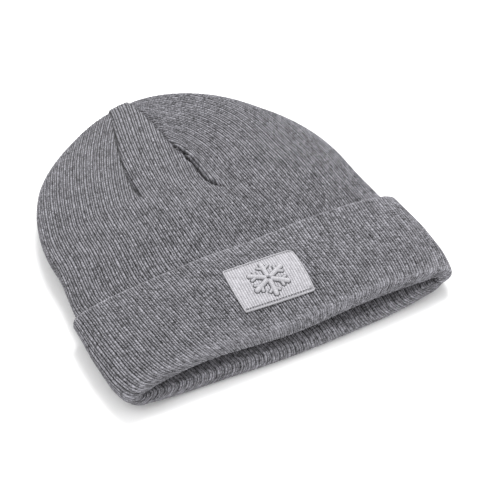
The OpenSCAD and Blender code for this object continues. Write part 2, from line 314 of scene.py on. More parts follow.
class Maker:  # one material and its nodes
    def __init__(self, name):
        self.material = bpy.data.materials.new(name)
        self.material.use_nodes = True
        self.tree = self.material.node_tree
        self.tree.nodes.clear()

    def node(self, kind, settings=None, inputs=None, output=0):
        made = self.tree.nodes.new(kind)
        for key, value in (settings or {}).items():
            setattr(made, key, value)
        for key, value in (inputs or {}).items():
            if isinstance(value, Signal):
                self.tree.links.new(value.socket, made.inputs[key])
            else:
                made.inputs[key].default_value = value
        return Signal(self, made.outputs[output]) if made.outputs else None

    def axes(self, vector, *which):
        return [self.node("ShaderNodeSeparateXYZ", None, {0: vector}, k) for k in which]

    def uv(self):
        return self.axes(self.node("ShaderNodeUVMap", {"uv_map": "knit"}), 0, 1)

    def vector(self, x, y, z=0.0):
        return self.node("ShaderNodeCombineXYZ", None, {0: x, 1: y, 2: z})

    def noise(self, vector, scale, detail=2.0):
        return self.node("ShaderNodeTexNoise", None, {"Vector": vector, "Scale": scale, "Detail": detail})

    def random(self, vector):
        return self.node("ShaderNodeTexWhiteNoise", {"noise_dimensions": "3D"}, {"Vector": vector})

    def blend(self, factor, a, b):
        return self.node("ShaderNodeMix", {"data_type": "RGBA"}, {0: factor, 6: a, 7: b}, 2)

    def place(self):
        return self.node("ShaderNodeTexCoord", None, None, 3)

    def finish(self, inputs, height=None, strength=0.5, distance=0.0003):
        inputs = dict(inputs)
        if height is not None:
            bump = {"Strength": strength, "Distance": distance, "Height": height}
            inputs["Normal"] = self.node("ShaderNodeBump", None, bump)
        shader = self.node("ShaderNodeBsdfPrincipled", None, inputs)
        self.node("ShaderNodeOutputMaterial", None, {"Surface": shader})
        return self.material


def grey(level):  # a grey a little towards violet
    return (level, 0.985 * level, 1.08 * level, 1)


def woolFinish(maker, colour, relief, strength, distance):
    return maker.finish({"Base Color": colour, "Roughness": 0.95, "Sheen Weight": 0.15, "Sheen Roughness": 0.5,
                         "Specular IOR Level": 0.12}, relief, strength, distance)


# V stitches in two narrow wales and a broad one, spun from light and dark fibre
def ribKnit(name, look):
    m = Maker(name)
    across, along = m.uv()
    p = across.part()
    c, h = wales["centres"], wales["halves"]
    second, third = (p > bound for bound in wales["bounds"])
    centre = c[0] + (c[1] - c[0]) * second + (c[2] - c[1]) * third
    inWale = (p - centre) / (h[0] + (h[1] - h[0]) * second + (h[2] - h[1]) * third)
    joined = look["near"] * (p > c[0]) + (look["next"] - look["near"]) * (p > c[1]) - look["next"] * (p > c[2])
    arch = (1 - inWale ** 2).most(0) ** 0.75
    course = along + 0.5 * inWale.size() + 0.5 * second
    loop = 1 - (2 * course.part() - 1) ** 2
    relief = (joined + (1 - joined) * arch) * (0.72 + 0.28 * loop)
    leg = 6 * across.whole() + 2 * second + 2 * third + (inWale > 0)
    yarn = m.random(m.vector(leg, course.whole(), 0.5))
    place = m.vector(across * 5.2, along * 2.0)
    fibre = m.noise(place, look["fibreScale"], 3.0)
    run = m.noise(m.vector(across * 1.1, along * 1.9), 1.0, 1.0)
    cloud = m.noise(place, 0.09, 2.0)
    tone = 0.5 + (yarn - 0.5) * look["stitch"] + (fibre - 0.5) * look["fibre"]
    tone = tone + (run - 0.5) * look["run"] + (cloud - 0.5) * look["cloud"]
    shade = m.blend(tone.span(0, 1), look["dark"], look["light"])
    ribbed = m.node("ShaderNodeAttribute", {"attribute_name": "ribbed"}, None, 2)
    shading = m.node("ShaderNodeAttribute", {"attribute_name": "shade"}, None, 2)
    # Painted shade and light: the colour is darkened in the grooves, more where the relief is lower, scaled by
    # the ribbed attribute and the look's groove strength, then multiplied by the painted shade and light in the
    # shade attribute
    paintedLight = ((1 - (1 - relief) * ribbed * look["grooveShade"]) * shading).span(0, 1.25, 0, 1.25)
    colour = m.node("ShaderNodeVectorMath", {"operation": "SCALE"}, {0: shade, "Scale": paintedLight})
    hair = m.noise(place, 7.0, 2.0)
    return woolFinish(m, colour, relief + hair * look["hair"], look["relief"], 0.0006)


cloudy = {"dark": grey(0.012), "light": grey(0.41), "stitch": 0.5, "fibre": 2.1, "fibreScale": 2.1,
          "run": 0.9, "cloud": 0.4, "near": 0.1, "next": 0.0, "grooveShade": 1.25, "relief": 1.0, "hair": 0.25}
crownCloth = ribKnit("crownKnitCloth", cloudy)
cuffCloth = ribKnit("cuffKnitCloth", dict(cloudy, next=0.08))
liningCloth = ribKnit("liningKnitCloth", dict(cloudy, grooveShade=0.6))
print("knit materials made")

# A turn is its start y, degrees a millimetre and most degrees; a run is where a change starts and ends
crown = {"columnsPerPeriod": 12, "startY": 56, "rowStep": 0.66, "ribDeep": 1.15, "stitchDeep": 0.1,
         "footY": 132, "squeeze": 1.5, "squeezeFrom": 76, "squeezeAt": 12, "squeezeWide": 14,
         "leftTurn": (70, 0.25, 34), "rightTurn": (140, 0.7, 30), "frontTurn": (100, 0.19, 17),
         "turnWide": 60, "swing": 5, "swingAt": 5, "swingWide": 55, "swingRun": (66, 116),
         "frontMiddle": -12, "frontSpread": 0.0022,
         "tipStep": 1.5, "tipRun": (198, 222), "wrinkle": 0.8, "wrinkleRun": (84, 112), "ribFade": 0.35,
         "fadeRun": (205, 226), "hemShade": 0.62, "hemRun": (68, 76)}
# A pinched crease beside the left dart; its dark value is painted shade in the crease
pucker = {"x": -33, "y": 140, "slope": 0.1, "slopeFrom": 146, "wide": 1.3, "long": 6.5, "deep": 1.7,
          "dark": 0.5}
# Points along each front dart, then how deep and wide its crease is, how dark its painted crease shade is, and
# the fold beside it
darts = {
    "left": {"path": ((132, -32), (153, -30.5), (167, -27), (183, -22), (203, -14.5), (222, -8)),
             "deep": 1.5, "wide": 0.8, "fold": 0.7, "dark": 0.6, "from": 126, "peak": (126, 205), "scallop": 0},
    "right": {"path": ((113, 18), (120, 13), (128, 10), (150, 9.4), (168, 6.9), (200, 7.2), (227, 7.8)),
              "deep": 2.6, "wide": 0.75, "fold": 1.7, "dark": 0.8, "from": 113, "peak": (124, 166),
             "scallop": 1.1},
}
crease = {"scallopLong": 12.5, "foldAt": 3.4, "foldWide": 2.6, "broadWide": 4.5, "broad": 0.35,
          "endRun": (206, 222)}
backDarts = {"left": ((132, -26), (226, -8.5)), "right": ((132, 26), (226, 9.5))}


def alongPath(path, y):
    stops, places = np.array(path).T
    shifts = (-4, -2, 0, 2, 4)  # averaged, so that the line has no corners
    return sum(np.interp(y + shift, stops, places) for shift in shifts) / len(shifts)


def turned(y, turn):  # sideways run of a rib that leans more and more, from the darts' feet up to y
    start, rate, most = turn
    fine = np.linspace(crown["footY"], hat["length"], 600)
    slope = np.tan(np.radians(np.clip(rate * (fine - start), 0, most)))
    return np.interp(y, fine, np.concatenate([[0], np.cumsum(slope[:-1] * np.diff(fine))]))


def crownRows():  # rows at even distances along the middle of the crown
    turn = np.linspace(0, np.pi / 2, 4000)
    rounding = hat["shoulderY"] + (hat["length"] - hat["shoulderY"]) * np.sin(turn)
    y = np.concatenate([np.linspace(crown["startY"], hat["shoulderY"], 2000)[:-1], rounding])
    run = np.concatenate([[0], np.cumsum(np.hypot(np.diff(y), 0.75 * np.diff(shellHalf(y, 0))))])
    want = np.linspace(0, run[-1], int(run[-1] / crown["rowStep"]) + 1)
    return np.interp(want, run, y)


def crownGrid():
    ys = crownRows()
    columns = crown["columnsPerPeriod"] * hat["periods"]
    p = np.zeros((len(ys), columns + 1, 3))
    over, under = np.zeros(len(ys)), np.zeros(len(ys))
    for row, y in enumerate(ys):
        x, z, over[row], under[row] = ringPoints(shellHalf(y, 0), shellLowZ(y, 0), shellTopZ(y, 0), columns)
        p[row] = np.stack([x + lean(y), np.full_like(x, y), z], -1)
    return ys, p, over, under


# Rib count across the top: straight below the darts, three gores above
def topPhase(ys, over, columns):
    half = hat["periods"] / 2
    share = np.linspace(0, 1, columns // 2 + 1)[None, :]
    y = ys[:, None]
    foot = np.argmin(np.abs(ys - crown["footY"]))
    pitch = over[foot] / half
    aside = (share - 0.5) * over[:, None]  # distance from the middle, round the section
    low = y <= crown["footY"]
    grow = crown["squeeze"] * ease(y, crown["squeezeFrom"], crown["footY"])

    def count(place):
        return half / 2 + (place + grow * np.tanh((place - crown["squeezeAt"]) / crown["squeezeWide"])) / pitch

    x = aside + lean(y)
    drift = lean(y) - lean(crown["footY"])
    leftLine = alongPath(darts["left"]["path"], y)
    rightLine = alongPath(darts["right"]["path"], y)
    left = count(aside + drift - turned(y, crown["leftTurn"]))
    right = count(aside + drift + turned(y, crown["rightTurn"]) * bell(x, rightLine, crown["turnWide"]))
    middle = crown["frontMiddle"]
    spread = 1 + crown["frontSpread"] * (y - crown["footY"])
    front = count(middle + (aside + drift - turned(y, crown["frontTurn"]) - middle) / spread)
    swing = crown["swing"] * (1 - ease(y, *crown["swingRun"])) * bell(x, crown["swingAt"], crown["swingWide"])
    straight = count(aside * over[foot] / over[:, None] - swing)
    gores = np.where(x < leftLine, left, np.where(x > rightLine, right, front))
    return np.where(low, straight, gores), x - leftLine, x - rightLine


# The same underneath, from the right side line to the left one
def underPhase(ys, under, columns, first, last):
    share = np.linspace(0, 1, columns // 2 + 1)[None, :]
    y = ys[:, None]
    periods = hat["periods"]
    foot = np.argmin(np.abs(ys - crown["footY"]))
    pitch = under[foot] / (first[foot] + periods - last[foot])
    fromRight = share * under[:, None]
    fromLeft = under[:, None] - fromRight
    x = under[:, None] / 2 - fromRight + lean(y)
    low = y <= crown["footY"]
    straight = mix(last[:, None], first[:, None] + periods, share)
    middle = (first[foot] + periods + last[foot]) / 2 + (fromRight - fromLeft) / 2 / pitch
    right = last[:, None] + fromRight / pitch
    left = first[:, None] + periods - fromLeft / pitch
    leftLine = alongPath(backDarts["left"], y)
    rightLine = alongPath(backDarts["right"], y)
    gores = np.where(x > rightLine, right, np.where(x < leftLine, left, middle))
    return np.where(low, straight, gores), x - leftLine, x - rightLine


def dartForm(dart, away, y, sign):  # height of the cloth at a distance from a dart's line, and the painted shade that darkens its crease
    start, end = dart["peak"]
    strength = ease(y, dart["from"], dart["from"] + 10) * (1 - 0.8 * ease(y, *crease["endRun"]))
    fullness = mix(1, 0.4, ease(y, end - 14, end + 14)) * strength
    scallop = np.abs(np.sin(np.pi * (y - start) / crease["scallopLong"])) * ease(y, start, start + 20)
    away = away - dart["scallop"] * scallop
    line = bell(away, 0, dart["wide"]) * fullness
    fold = bell(sign * away, crease["foldAt"], crease["foldWide"]) * fullness
    broad = bell(away, 0, crease["broadWide"]) * strength * crease["broad"]
    return dart["fold"] * (fold - broad) - dart["deep"] * line, 1 - dart["dark"] * line


def crownSurface():
    ys, p, over, under = crownGrid()
    columns = p.shape[1] - 1
    top, toLeft, toRight = topPhase(ys, over, columns)
    bottom, backLeft, backRight = underPhase(ys, under, columns, top[:, 0], top[:, -1])
    phase = np.concatenate([top, bottom[:, 1:]], 1)
    y = ys[:, None] + 0 * phase
    x = p[..., 0]
    run = np.concatenate([[0], np.cumsum(np.hypot(np.diff(ys), 0.6 * np.diff(shellHalf(ys, 0))))])
    course = run[:, None] / hat["coursePitch"] + 0 * phase
    course = course + 1.6 * wobble(x, y, 5, 90)
    p = settle(p)
    normals, outward = gridNormals(p, len(ys) // 3)
    half = columns // 2
    rise = np.zeros_like(phase)
    shade = np.ones_like(phase)
    above, below = slice(0, half + 1), slice(half, None)
    sides = ((above, darts["left"], toLeft, -1), (above, darts["right"], toRight, 1),
             (below, darts["left"], backLeft, -1), (below, darts["left"], backRight, 1))
    # Each dart's crease is darkened in the shade attribute: painted shade
    for part, dart, away, sign in sides:
        form, creaseShade = dartForm(dart, away, y[:, part], sign)
        rise[:, part] += form
        shade[:, part] *= creaseShade
    between = ease(toLeft, -1, 2) * (1 - ease(toRight, -2, 1)) * ease(y[:, above], *crown["tipRun"])
    rise[:, above] += crown["tipStep"] * between
    upper = ease(p[..., 2], 0.4 * crownRise, 0.75 * crownRise)
    rise += crown["wrinkle"] * wobble(x, y, 11, 58) * upper * ease(y, *crown["wrinkleRun"])
    aside = (x - pucker["x"]) + pucker["slope"] * (y - pucker["slopeFrom"])
    pinch = bell(aside, 0, pucker["wide"]) * bell(y, pucker["y"], pucker["long"])
    pinch[:, half:] = 0
    rise -= pucker["deep"] * pinch
    # the pucker's crease is darkened with painted shade
    shade *= 1 - pucker["dark"] * pinch
    rib = outerRib(phase)
    deep = crown["ribDeep"] * (1 - crown["ribFade"] * ease(y, *crown["fadeRun"]))
    rise -= deep * (1 - rib) + crown["stitchDeep"] * stitchRelief(phase, course) * rib
    # Painted shadow: the crown is darkened towards and under the cuff's free edge
    shade *= mix(crown["hemShade"], 1, ease(y, *crown["hemRun"]))
    return p + normals * rise[..., None], phase, course, shade, np.ones_like(phase), outward, gridArea(p)


# Cuts a ring of knit into pieces along deep grooves
def quarters(name, surface, material, slot, node, count=4):
    p, phase, course, shade, ribbed, outward, area = surface
    pieces = []
    step = (p.shape[1] - 1) // count
    for k in range(count):
        part = slice(k * step, (k + 1) * step + 1)
        mesh = gridMesh(f"{name}_{k + 1}", p[:, part], phase[:, part], course[:, part], shade[:, part],
                        ribbed[:, part], outward < 0)
        pieces.append(addPiece(f"{name}_{k + 1}", mesh, material, slot, node))
    return pieces, area / count


crownPieces, crownArea = quarters("crown_knit", crownSurface(), crownCloth, "rib_knit", "outer_shell")
print("crown made", sum(len(piece.data.polygons) for piece in crownPieces))

# The ribs fan out towards the free edge, and crowd together on the left
cuff = {"columnsPerPeriod": 12, "rowStep": 0.64, "tuck": 10, "insideTo": 30, "ribDeep": 1.3,
        "stitchDeep": 0.12, "edgePlain": 2.6, "edgeLight": 1.06, "lipLight": 0.3, "gather": 0.9, "slant": 0.01,
        "fan": 0.1, "fanAt": 0.16, "crowd": 5.7, "crowdAt": 0.14, "spread": 4, "spreadAt": 2.4,
        "spreadWide": 0.8, "cornerWide": 14, "cornerLong": 9, "foldWide": 5.5}


def ribsMoved(y, columns):  # how far the ribs are moved round the cuff from their even places
    turn = np.linspace(0, math.tau, columns + 1)
    slope = cuff["slant"] + cuff["fan"] * np.cos(turn - math.tau * cuff["fanAt"])
    nearEdge = ease(y, 0.6 * hat["cuffHeight"], 1.1 * hat["cuffHeight"])
    spread = cuff["spread"] * nearEdge * bell(turn, cuff["spreadAt"], cuff["spreadWide"])
    crowd = cuff["crowd"] * np.sin(turn - math.tau * cuff["crowdAt"])
    return spread - slope * (y - hat["cuffHeight"] / 2) - crowd


def cuffPath():  # (y, depth) from the back of the free edge, over the face and round the brim fold
    edge = hat["cuffThick"] / 2
    height = hat["cuffHeight"]
    fold = hat["foldDeep"]
    turn = np.radians(np.linspace(90, -90, 40))
    points = [(y, 2 * edge) for y in np.linspace(height - cuff["tuck"], height - edge, 20)]
    points += [(height - edge + edge * math.cos(a), edge + edge * math.sin(a)) for a in turn[1:]]
    points += [(y, 0) for y in np.linspace(height - edge, fold, 60)[1:]]
    for a in turn[1:]:
        points.append((fold * (1 - max(0, math.cos(a)) ** hat["foldPower"]), wall / 2 * (1 - math.sin(a))))
    points += [(y, wall) for y in np.linspace(fold, cuff["insideTo"], 30)[1:]]
    points = np.array(points)
    run = np.concatenate([[0], np.cumsum(np.hypot(*np.diff(points, axis=0).T))])
    want = np.linspace(0, run[-1], int(run[-1] / cuff["rowStep"]) + 1)
    return np.interp(want, run, points[:, 0]), np.interp(want, run, points[:, 1]), want


def cuffSurface():
    ys, depths, run = cuffPath()
    columns = cuff["columnsPerPeriod"] * hat["periods"]
    p = np.zeros((len(ys), columns + 1, 3))
    for row, (y, depth) in enumerate(zip(ys, depths)):
        x, z, over, under = ringPoints(cuffHalf(y) - depth, depth, cuffTop(y) - depth, columns,
                                       ribsMoved(y, columns))
        p[row] = np.stack([x, np.full_like(x, y), z], -1)
    phase = hat["periods"] * np.linspace(0, 1, columns + 1)[None, :] + 0 * run[:, None]
    x, y = p[..., 0], p[..., 1]
    course = run[:, None] / hat["coursePitch"] + 0.8 * wobble(x, y, 8, 80)
    p = settle(p)
    normals, outward = gridNormals(p, len(ys) // 3)
    edge = hat["cuffThick"] / 2
    path = run[:, None] + 0 * phase
    freeEdge = cuff["tuck"] - edge + math.pi * edge / 2
    foldStart = cuff["tuck"] - edge + math.pi * edge + hat["cuffHeight"] - edge - hat["foldDeep"]
    foldLong = math.pi * (hat["foldDeep"] + wall / 2) / 2
    inside = ease(path, foldStart + 0.55 * foldLong, foldStart + 0.95 * foldLong)
    atEdge = bell(path, freeEdge + 0.8, cuff["edgePlain"])
    atFold = bell(path, foldStart + 0.25 * foldLong, cuff["foldWide"])
    rib = mix(outerRib(phase), innerRib(phase), inside)
    ribbed = (1 - 0.8 * atEdge) * (1 - 0.6 * atFold) * mix(1, 0.8, inside)
    deep = cuff["ribDeep"] * ribbed
    corner = bell(np.abs(x), cuffWidth / 2, cuff["cornerWide"])
    corner = corner * bell(path, foldStart + 0.4 * foldLong, cuff["cornerLong"])
    rise = cuff["gather"] * corner * np.sin(phase * math.tau / 3 + 1)
    rise -= deep * (1 - rib) + cuff["stitchDeep"] * stitchRelief(phase, course) * rib * (1 - atEdge)
    # Painted highlight along the cuff's free edge, and painted light that brightens the inner face at the lower
    # lip
    shade = 1 + (cuff["edgeLight"] - 1) * atEdge + cuff["lipLight"] * inside
    return p + normals * rise[..., None], phase, course, shade, ribbed, outward, gridArea(p)


cuffPieces, cuffArea = quarters("cuff_knit", cuffSurface(), cuffCloth, "rib_knit", "cuff")
print("cuff made", sum(len(piece.data.polygons) for piece in cuffPieces))

lining = {"columnsPerPeriod": 6, "rows": 110, "ribDeep": 0.7}


def liningSurface():
    deep = 2 * hat["plyThick"] + hat["gap"]
    start = cuff["insideTo"] - 1
    end = hat["length"] - deep - 0.4
    ys = start + (end - start) * np.sin(np.linspace(0, 1, lining["rows"] + 1) * np.pi / 2)
    columns = lining["columnsPerPeriod"] * hat["periods"]
    p = np.zeros((len(ys), columns + 1, 3))
    for row, y in enumerate(ys):
        x, z, over, under = ringPoints(shellHalf(y, deep), shellLowZ(y, deep), shellTopZ(y, deep), columns)
        p[row] = np.stack([x + lean(y), np.full_like(x, y), z], -1)
    phase = hat["periods"] * np.linspace(0, 1, columns + 1)[None, :] + 0 * ys[:, None]
    course = ys[:, None] / hat["coursePitch"] + 0 * phase
    p = settle(p)
    normals, outward = gridNormals(p, len(ys) // 3)
    rise = lining["ribDeep"] * (1 - innerRib(phase))
    plain = np.ones_like(phase)
    # the lining's shade attribute is 0.9 everywhere: painted shade on the inner ply
    return p + normals * rise[..., None], phase, course, 0.9 * plain, 0.6 * plain, -outward, gridArea(p)


liningPieces, liningArea = quarters("lining_knit", liningSurface(), liningCloth, "rib_knit", "inner_shell", 2)
print("lining made")

def swell(x, half):  # how full a section is at a place across it
    return np.maximum(0, 1 - np.abs(x / half) ** hat["squareness"]) ** (1 / hat["squareness"])


def liningZ(x, y):  # height of the lining's inner face over the table, on the lower side
    deep = 2 * hat["plyThick"] + hat["gap"]
    low = shellLowZ(y, deep)
    middle = (low + shellTopZ(y, deep)) / 2
    share = swell(x, shellHalf(y, deep))
    return middle - (middle - low) * np.minimum(1, hat["flatShare"] * share)


def cuffZ(x, y):  # height of the cuff's face
    middle = cuffTop(y) / 2
    return middle + middle * swell(x, cuffHalf(y))


def crownZ(x, y, over):  # height of the crown's face over or under a point
    low, high = shellLowZ(y, 0), shellTopZ(y, 0)
    middle = (low + high) / 2
    share = swell(x - lean(y), shellHalf(y, 0))
    if over:
        return middle + (high - middle) * share
    return middle - (middle - low) * np.minimum(1, hat["flatShare"] * share)


# A closed form: shape(u, v) gives points for u, v from 0 to 1
def loftMesh(name, shape, along, around):
    bm = bmesh.new()
    bmesh.ops.create_grid(bm, x_segments=along, y_segments=around, size=0.5)
    u = np.array([v.co.x + 0.5 for v in bm.verts])
    w = np.array([v.co.y + 0.5 for v in bm.verts])
    for vertex, co in zip(bm.verts, toFrame(shape(u, w))):
        vertex.co = co
    layer = bm.loops.layers.uv.new("knit")
    for face in bm.faces:
        for loop in face.loops:
            loop[layer].uv = (u[loop.vert.index], w[loop.vert.index])
        face.smooth = True
    bmesh.ops.remove_doubles(bm, verts=bm.verts, dist=1e-6)
    bmesh.ops.recalc_face_normals(bm, faces=bm.faces)
    mesh = bpy.data.meshes.new(name)
    bm.to_mesh(mesh)
    bm.free()
    return mesh


def joinMeshes(name, meshes):
    bm = bmesh.new()
    bm.loops.layers.uv.new("knit")
    for mesh in meshes:
        bm.from_mesh(mesh)
        bpy.data.meshes.remove(mesh)
    joined = bpy.data.meshes.new(name)
    bm.to_mesh(joined)
    bm.free()
    return joined


def grains(name, ends, thick, sides=8, rings=6):  # short rounded lengths of thread between pairs of points
    bm = bmesh.new()
    bm.loops.layers.uv.new("knit")
    for a, b in ends:
        start, end = (Vector(toFrame(np.array(point, float))) for point in (a, b))
        middle, run = (start + end) / 2, end - start
        turn = run.to_track_quat("Z", "Y").to_matrix().to_4x4()
        size = Vector((thick * mm / 2, thick * mm / 2, run.length / 2 + thick * mm / 4))
        matrix = Matrix.Translation(middle) @ turn @ Matrix.Diagonal(size).to_4x4()
        bmesh.ops.create_uvsphere(bm, u_segments=sides, v_segments=rings, radius=1, matrix=matrix,
                                  calc_uvs=True)
    for face in bm.faces:
        face.smooth = True
    mesh = bpy.data.meshes.new(name)
    bm.to_mesh(mesh)
    bm.free()
    return mesh


def wovenPatch():  # fine upright ribs of filling thread, with a notch at every pick
    m = Maker("patchCloth")
    u, v = m.uv()
    rib = u * patch["ribs"]
    pick = v * patch["picks"] + 0.5 * (rib.whole() / 2).part()
    ridge = 1 - (2 * rib.part() - 1) ** 2
    bead = 1 - (2 * pick.part() - 1) ** 2
    thread = m.random(m.vector(rib.whole(), pick.whole()))
    height = ridge * (0.55 + 0.45 * bead)
    mottle = m.noise(m.vector(u * 30, v * 22), 1.0, 3.0)
    # The tone is lighter on the high ridges and beads and darker between them, as painted shade between the
    # threads, with random thread and mottle tone
    tone = (height * 0.55 + thread * 0.22 + mottle * 0.5).span(0.1, 1.15)
    colour = m.blend(tone, (0.14, 0.137, 0.148, 1), (0.475, 0.467, 0.496, 1))
    return m.finish({"Base Color": colour, "Roughness": 0.72, "Sheen Weight": 0.1}, height, 0.7, 0.0003)


def satinThread(name, dark, light, turns, rough=0.42):  # closely laid lustrous threads across a strip
    m = Maker(name)
    u, v = m.uv()
    lay = u * turns + 0.35 * m.noise(m.vector(u * 40, v * 4), 1.0, 1.0)
    ridge = 1 - (2 * lay.part() - 1) ** 2
    thread = m.random(m.vector(lay.whole(), 1.0))
    # Each thread is painted lighter along its crown and darker where threads meet, as painted highlight and
    # shade, with random tone per thread
    colour = m.blend((ridge * 0.5 + thread * 0.5).span(0, 1), dark, light)
    return m.finish({"Base Color": colour, "Roughness": rough, "Anisotropic": 0.4, "Sheen Weight": 0.1},
                    ridge + thread * 0.3, 0.5, 0.00015)


def twistedThread(name, dark, light):  # two-ply sewing thread
    m = Maker(name)
    place = m.place()
    fibre = m.noise(place, 2600, 2.0)
    ply = m.noise(place, 900, 1.0)
    return m.finish({"Base Color": m.blend((fibre * 0.6 + ply * 0.4).span(0.3, 0.7), dark, light),
                     "Roughness": 0.7, "Sheen Weight": 0.15}, fibre, 0.5, 0.0001)


patch = {"width": 44.5, "height": 33, "thick": 1.0, "edging": 0.8, "edgingRise": 0.15, "round": 1.2,
         "farRound": 3.6, "at": (1, 33), "turn": -4, "ribs": 30, "picks": 38, "ribHigh": 0.22, "inset": 0.25,
         "stitchLong": 1.9, "stitchThick": 0.42, "stitchIn": 0.9, "stitchRise": 0.12, "sunk": 0.34, "bow": 1.4}


def onPatch(a, b, h):  # a across and b up the patch, h over the cuff
    turn = math.radians(patch["turn"])
    a = a * (1 + patch["bow"] * (1 - (2 * b / patch["height"]) ** 2) / patch["width"])
    x = patch["at"][0] + a * math.cos(turn) - b * math.sin(turn)
    y = patch["at"][1] + a * math.sin(turn) + b * math.cos(turn)
    x, y, h = np.broadcast_arrays(x, y, h)
    lifted = settle(np.stack([x, y, cuffZ(x, y)], -1))
    return np.stack([x, y, lifted[..., 2] + hat["gap"] * 0.4 + h], -1)


def patchOutline(t, inset):  # t from 0 to 1 round the rounded rectangle, starting at the lower left corner
    w, h = patch["width"] / 2, patch["height"] / 2
    corners = ((-w, -h, 180), (w, -h, 270), (w, h, 0), (-w, h, 90))
    stops = []
    for k, (cornerX, cornerY, start) in enumerate(corners):
        r = patch["farRound"] if k == 2 else patch["round"]
        for angle in np.radians(np.linspace(start, start + 90, 9)):
            out = (math.cos(angle), math.sin(angle))
            stops.append((cornerX - math.copysign(r, cornerX) + r * out[0],
                          cornerY - math.copysign(r, cornerY) + r * out[1], *out))
    stops = np.array(stops + stops[:1])
    run = np.concatenate([[0], np.cumsum(np.hypot(*np.diff(stops[:, :2], axis=0).T))])
    x, y, outX, outY = (np.interp(t * run[-1], run, column) for column in stops.T)
    return x - inset * outX, y - inset * outY


def patchGround():  # a thin closed form: its outline shrinks to the middle, over the top and back underneath
    columns, rows = 300, 44

    def shape(u, v):
        across = np.clip(u * 1.04 - 0.02, 0, 1)
        lip = ease(u, 0, 0.02) * (1 - ease(u, 0.98, 1)) * ease(v, 0.0, 0.02) * (1 - ease(v, 0.48, 0.5))
        over = v <= 0.5
        upward = np.where(over, 2 * v, 2 - 2 * v)
        w, h = patch["width"] / 2 - patch["inset"], patch["height"] / 2 - patch["inset"]
        a = mix(-w, w, across)
        r = patch["farRound"]
        past = np.maximum(0, a - w + r)  # how far into the round corner
        limit = h - r + np.sqrt(np.maximum(0, r ** 2 - past ** 2))
        b = mix(-h, limit, upward)
        rib = np.abs(np.sin(np.pi * patch["ribs"] * u))
        high = np.where(over, (patch["thick"] - patch["ribHigh"] * (1 - rib)) * lip, 0)
        return onPatch(a, b, high)
    return loftMesh("patch_ground", shape, columns, 2 * rows)


def patchEdging():
    def shape(u, v):
        angle = math.tau * v
        half = patch["edging"] / 2
        a, b = patchOutline(u, half * (1 - np.cos(angle)))
        middle = patch["thick"] / 2
        return onPatch(a, b, np.maximum(0, middle + (middle + patch["edgingRise"]) * np.sin(angle)))
    return loftMesh("patch_border", shape, 360, 12)


def patchStitches():
    inset = patch["edging"] + patch["stitchIn"]
    count = int(2 * (patch["width"] + patch["height"]) / patch["stitchLong"])
    ends = []
    for k in range(count):
        pair = []
        for share in (0.14, 0.86):
            a, b = patchOutline(np.array([(k + share) / count]), inset)
            low = np.where(b < 1 - patch["height"] / 2 + inset, 0, patch["sunk"])
            pair.append(onPatch(a, b, patch["thick"] + patch["stitchRise"] - low)[0])
        ends.append(pair)
    return grains("patch_thread", ends, patch["stitchThick"])


motif = {"arm": 12.5, "hub": 0.9, "wide": 3.0, "high": 1.55, "twigAt": 7.0, "twigLong": 4.4, "twigWide": 1.9,
         "twigHigh": 1.0, "twigAngle": 55, "outline": 0.56, "outlineHigh": 0.42, "turn": 30}


# A domed strip with round ends, ridged across by its threads
def strip(name, start, end, wide, high, along, ridges):
    start, end = np.array(start, float), np.array(end, float)
    run = (end - start) / np.linalg.norm(end - start)
    side = np.array([-run[1], run[0]])
    longSide = np.linalg.norm(end - start)

    def shape(u, v):
        place = u * longSide
        fromEnd = np.minimum(place, longSide - place)
        full = np.sqrt(np.clip(1 - (1 - np.minimum(1, fromEnd / (wide / 2))) ** 2, 0, 1))
        angle = math.tau * v
        ridge = 1 + 0.05 * np.abs(np.sin(np.pi * ridges * u)) if ridges else 1
        a = start[0] + run[0] * place + side[0] * wide / 2 * np.cos(angle) * full
        b = start[1] + run[1] * place + side[1] * wide / 2 * np.cos(angle) * full
        lift = np.where(np.sin(angle) > 0, high * np.abs(np.sin(angle)) ** 0.8 * full * ridge, 0)
        return onPatch(a, b, patch["thick"] - 0.15 + lift)
    return loftMesh(name, shape, along, 14)


def motifStrips(name, extra, high, twigHigh, along, ridged):
    strips = []
    for k in range(6):
        angle = math.radians(motif["turn"] + 60 * k)
        ray = np.array([math.cos(angle), math.sin(angle)])
        ridges = 26 if ridged else 0
        strips.append(strip(name, ray * (motif["hub"] - extra), ray * (motif["arm"] + extra),
                            motif["wide"] + 2 * extra, high, along, ridges))
        for side in (-1, 1):
            out = angle + side * math.radians(motif["twigAngle"])
            way = np.array([math.cos(out), math.sin(out)])
            foot = ray * motif["twigAt"]
            strips.append(strip(name, foot - way * extra, foot + way * (motif["twigLong"] + extra),
                                motif["twigWide"] + 2 * extra, twigHigh, along // 2, ridges // 2))
    return joinMeshes(name, strips)


paleThread = satinThread("satinPale", (0.24, 0.237, 0.252, 1), (0.45, 0.443, 0.468, 1), 26)
edgeThread = satinThread("edgingPale", (0.27, 0.266, 0.282, 1), (0.44, 0.434, 0.458, 1), 300, 0.6)
darkThread = twistedThread("darkSewingThread", (0.02, 0.02, 0.023, 1), (0.07, 0.07, 0.078, 1))
labelThread = twistedThread("labelSewingThread", (0.40, 0.40, 0.42, 1), (0.62, 0.62, 0.64, 1))
seamYarn = twistedThread("seamYarn", (0.02, 0.02, 0.023, 1), (0.09, 0.09, 0.095, 1))

ground = addPiece("patch_ground", patchGround(), wovenPatch(), "patch_cloth", "patch_base")
edging = addPiece("patch_border", patchEdging(), edgeThread, "patch_cloth", "patch_edging")
stitching = addPiece("patch_thread", patchStitches(), darkThread, "dark_thread", "patch_stitches")
